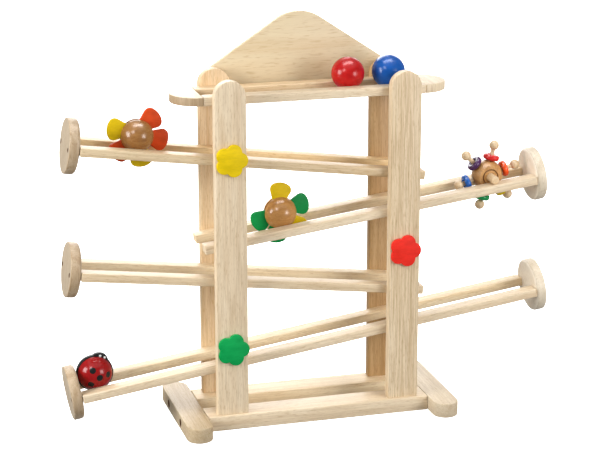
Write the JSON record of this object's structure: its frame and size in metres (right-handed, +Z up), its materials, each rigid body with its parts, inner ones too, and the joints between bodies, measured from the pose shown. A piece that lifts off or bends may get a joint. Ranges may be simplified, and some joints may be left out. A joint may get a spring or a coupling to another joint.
{
  "type": "wooden marble run",
  "caption": "Wooden marble run: zigzag rail tracks with end discs on a post frame, loose balls, petal flower rollers, a ladybug roller and a spiked wheel with sliding rings.",
  "frame": {"origin": "middle of the footprint on the surface that the feet stand on", "axes": "+X along the tracks to the right, +Y away from the viewer towards the gable panel, +Z up"},
  "size_m": [0.609, 0.17, 0.4888],
  "materials": {
    "pale_wood": "clear matt lacquer",
    "plywood": "clear matt lacquer",
    "bead_wood": "gloss lacquer",
    "turned_wood": "satin lacquer",
    "red_paint": "satin paint on wood",
    "blue_paint": "satin paint on wood",
    "yellow_paint": "satin paint on wood",
    "orange_paint": "satin paint on wood",
    "green_paint": "satin paint on wood",
    "purple_paint": "satin paint on wood",
    "black_paint": "satin paint on wood",
    "red_gloss": "gloss paint on wood",
    "blue_gloss": "gloss paint on wood"
  },
  "bodies": {
    "frame": {"left_foot": "pale_wood", "right_foot": "pale_wood", "front_base_rail": "pale_wood", "rear_base_rail": "pale_wood", "front_left_post": "pale_wood", "front_right_post": "pale_wood", "rear_left_post": "pale_wood", "rear_right_post": "pale_wood", "top_front_rail": "pale_wood", "top_rear_rail": "pale_wood", "top_left_end_block": "pale_wood", "top_right_end_block": "pale_wood", "gable_panel": "plywood", "upper_track_front_rail": "pale_wood", "upper_track_rear_rail": "pale_wood", "second_track_front_rail": "pale_wood", "second_track_rear_rail": "pale_wood", "third_track_front_rail": "pale_wood", "third_track_rear_rail": "pale_wood", "bottom_track_front_rail": "pale_wood", "bottom_track_rear_rail": "pale_wood", "upper_track_left_disc": "pale_wood", "second_track_right_disc": "pale_wood", "third_track_left_disc": "pale_wood", "bottom_track_left_disc": "pale_wood", "bottom_track_right_disc": "pale_wood", "yellow_post_flower": "yellow_paint", "green_post_flower": "green_paint", "red_post_flower": "red_paint"},
    "red_ball": {"red_ball": "red_gloss"},
    "blue_ball": {"blue_ball": "blue_gloss"},
    "orange_flower": {"orange_flower_front_half": "bead_wood", "orange_flower_rear_half": "bead_wood"},
    "orange_flower_petal_1": {"orange_flower_petal_1": "orange_paint"},
    "orange_flower_petal_2": {"orange_flower_petal_2": "orange_paint"},
    "orange_flower_petal_3": {"orange_flower_petal_3": "yellow_paint"},
    "orange_flower_petal_4": {"orange_flower_petal_4": "orange_paint"},
    "orange_flower_petal_5": {"orange_flower_petal_5": "yellow_paint"},
    "green_flower": {"green_flower_front_half": "bead_wood", "green_flower_rear_half": "bead_wood"},
    "green_flower_petal_1": {"green_flower_petal_1": "yellow_paint"},
    "green_flower_petal_2": {"green_flower_petal_2": "green_paint"},
    "green_flower_petal_3": {"green_flower_petal_3": "yellow_paint"},
    "green_flower_petal_4": {"green_flower_petal_4": "green_paint"},
    "green_flower_petal_5": {"green_flower_petal_5": "green_paint"},
    "ladybug": {"ladybug_plate": "black_paint", "ladybug_front_half": "red_gloss", "ladybug_rear_half": "red_gloss"},
    "wheel_axle": {"wheel_axle": "turned_wood"},
    "wheel_hub": {"wheel_hub": "turned_wood"},
    "orange_ring": {"orange_ring": "orange_paint"},
    "red_ring": {"red_ring": "red_paint"},
    "purple_ring": {"purple_ring": "purple_paint"},
    "blue_ring": {"blue_ring": "blue_paint"},
    "green_ring": {"green_ring": "green_paint"},
    "yellow_ring": {"yellow_ring": "yellow_paint"}
  },
  "joints": [
    {"name": "red_ball_roll", "type": "slide", "parent": "frame", "child": "red_ball", "axis": [1, 0, 0], "range_m": [-0.168, 0.01]},
    {"name": "blue_ball_roll", "type": "slide", "parent": "frame", "child": "blue_ball", "axis": [1, 0, 0], "range_m": [-0.01, 0.02]},
    {"name": "orange_flower_roll", "type": "slide", "parent": "frame", "child": "orange_flower", "axis": [0.9912, 0, -0.1323], "range_m": [-0.03, 0.345]},
    {"name": "orange_flower_petal_1_swing", "type": "hinge", "parent": "orange_flower", "child": "orange_flower_petal_1", "pos_m": [-0.20555, 0, 0.36845], "axis": [0, -1, 0], "range_deg": [-5, 73]},
    {"name": "orange_flower_petal_2_swing", "type": "hinge", "parent": "orange_flower", "child": "orange_flower_petal_2", "pos_m": [-0.19932, 0, 0.35848], "axis": [0, -1, 0], "range_deg": [-19.5, 6.5]},
    {"name": "orange_flower_petal_3_swing", "type": "hinge", "parent": "orange_flower", "child": "orange_flower_petal_3", "pos_m": [-0.20688, 0, 0.34947], "axis": [0, -1, 0], "range_deg": [-9.5, 21.5]},
    {"name": "orange_flower_petal_4_swing", "type": "hinge", "parent": "orange_flower", "child": "orange_flower_petal_4", "pos_m": [-0.21778, 0, 0.35388], "axis": [0, -1, 0], "range_deg": [-7, 9.5]},
    {"name": "orange_flower_petal_5_swing", "type": "hinge", "parent": "orange_flower", "child": "orange_flower_petal_5", "pos_m": [-0.21696, 0, 0.36561], "axis": [0, -1, 0], "range_deg": [-71, 5]},
    {"name": "green_flower_roll", "type": "slide", "parent": "frame", "child": "green_flower", "axis": [-0.9912, 0, -0.1323], "range_m": [-0.18, 0.1]},
    {"name": "green_flower_petal_1_swing", "type": "hinge", "parent": "green_flower", "child": "green_flower_petal_1", "pos_m": [-0.03905, 0, 0.26279], "axis": [0, -1, 0], "range_deg": [-12, 68]},
    {"name": "green_flower_petal_2_swing", "type": "hinge", "parent": "green_flower", "child": "green_flower_petal_2", "pos_m": [-0.02793, 0, 0.25897], "axis": [0, -1, 0], "range_deg": [-8, 23.5]},
    {"name": "green_flower_petal_3_swing", "type": "hinge", "parent": "green_flower", "child": "green_flower_petal_3", "pos_m": [-0.02814, 0, 0.24721], "axis": [0, -1, 0], "range_deg": [-8, 9.5]},
    {"name": "green_flower_petal_4_swing", "type": "hinge", "parent": "green_flower", "child": "green_flower_petal_4", "pos_m": [-0.03938, 0, 0.24377], "axis": [0, -1, 0], "range_deg": [-8.5, 8]},
    {"name": "green_flower_petal_5_swing", "type": "hinge", "parent": "green_flower", "child": "green_flower_petal_5", "pos_m": [-0.04612, 0, 0.2534], "axis": [0, -1, 0], "range_deg": [-71, 6.5]},
    {"name": "ladybug_roll", "type": "slide", "parent": "frame", "child": "ladybug", "axis": [0.9896, 0, 0.1437], "range_m": [0, 0.52]},
    {"name": "wheel_roll", "type": "slide", "parent": "frame", "child": "wheel_axle", "axis": [-0.9912, 0, -0.1323], "range_m": [-0.006, 0.18]},
    {"name": "wheel_spin", "type": "hinge", "parent": "wheel_axle", "child": "wheel_hub", "pos_m": [0.22916, 0, 0.28152], "axis": [0, -1, 0], "continuous": true},
    {"name": "orange_ring_slide", "type": "slide", "parent": "wheel_hub", "child": "orange_ring", "axis": [0.9563, 0, 0.2924], "range_m": [0, 0.005]},
    {"name": "red_ring_slide", "type": "slide", "parent": "wheel_hub", "child": "red_ring", "axis": [0.225, 0, 0.9744], "range_m": [0, 0.005]},
    {"name": "purple_ring_slide", "type": "slide", "parent": "wheel_hub", "child": "purple_ring", "axis": [-0.7314, 0, 0.682], "range_m": [0, 0.005]},
    {"name": "blue_ring_slide", "type": "slide", "parent": "wheel_hub", "child": "blue_ring", "axis": [-0.9563, 0, -0.2924], "range_m": [-0.005, 0]},
    {"name": "green_ring_slide", "type": "slide", "parent": "wheel_hub", "child": "green_ring", "axis": [-0.225, 0, -0.9744], "range_m": [-0.005, 0]},
    {"name": "yellow_ring_slide", "type": "slide", "parent": "wheel_hub", "child": "yellow_ring", "axis": [0.7314, 0, -0.682], "range_m": [-0.005, 0]}
  ],
  "couplings": [
    {"joint": "wheel_spin", "follows": "wheel_roll", "rad_per_m": 200}
  ]
}
